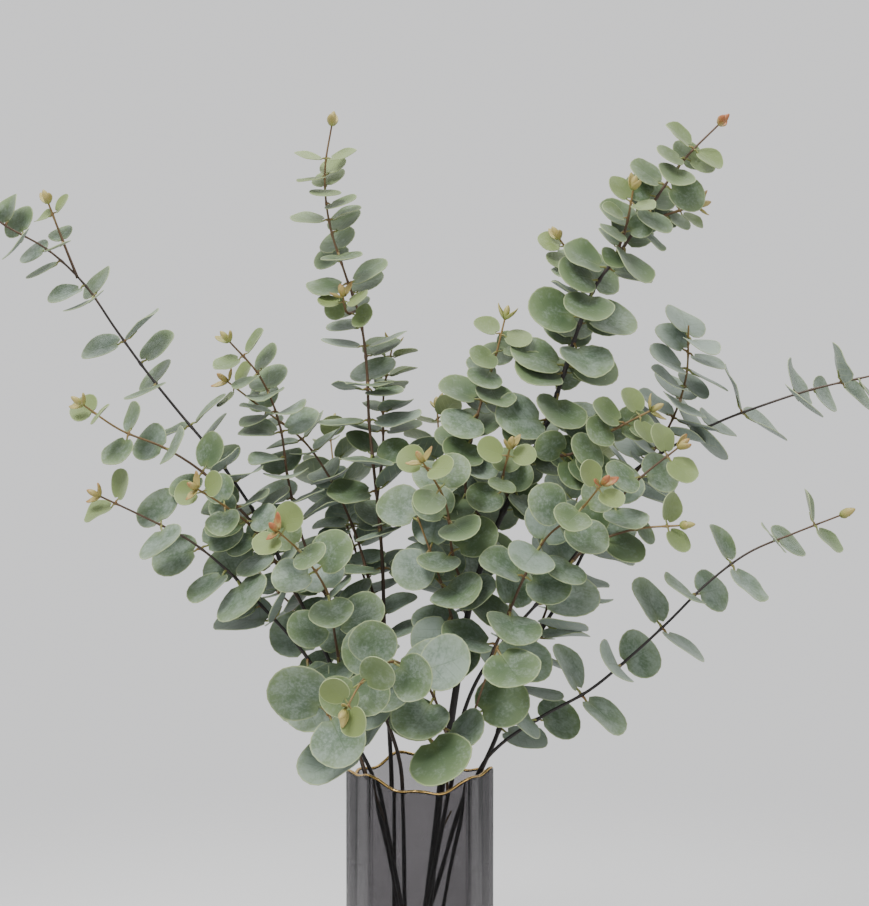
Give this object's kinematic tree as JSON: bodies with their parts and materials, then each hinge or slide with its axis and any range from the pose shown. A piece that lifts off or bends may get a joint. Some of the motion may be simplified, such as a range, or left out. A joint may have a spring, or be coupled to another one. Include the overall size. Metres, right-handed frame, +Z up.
{
  "type": "eucalyptus branches in a vase",
  "caption": "Bunch of round-leaved eucalyptus branches with small tip buds, standing in a tall fluted smoked-glass vase with a wavy gilt lip",
  "frame": {"origin": "centre of the vase's underside", "axes": "+Z up along the vase's axis; -Y is the front that the picture shows, +X is to the right in it"},
  "size_m": [0.793, 0.3368, 0.7946],
  "materials": {
    "smoked_glass": "polished, smoked",
    "gilt": "gilded, bright",
    "eucalyptus": "powdery matte"
  },
  "bodies": {
    "root": {"vase": "smoked_glass", "gilt_lip": "gilt", "stem_far_left": "eucalyptus", "stem_left_low": "eucalyptus", "stem_tall_left": "eucalyptus", "stem_upper_left": "eucalyptus", "stem_tall_right": "eucalyptus", "stem_right_front": "eucalyptus", "stem_right": "eucalyptus", "stem_right_low": "eucalyptus"}
  },
  "joints": []
}
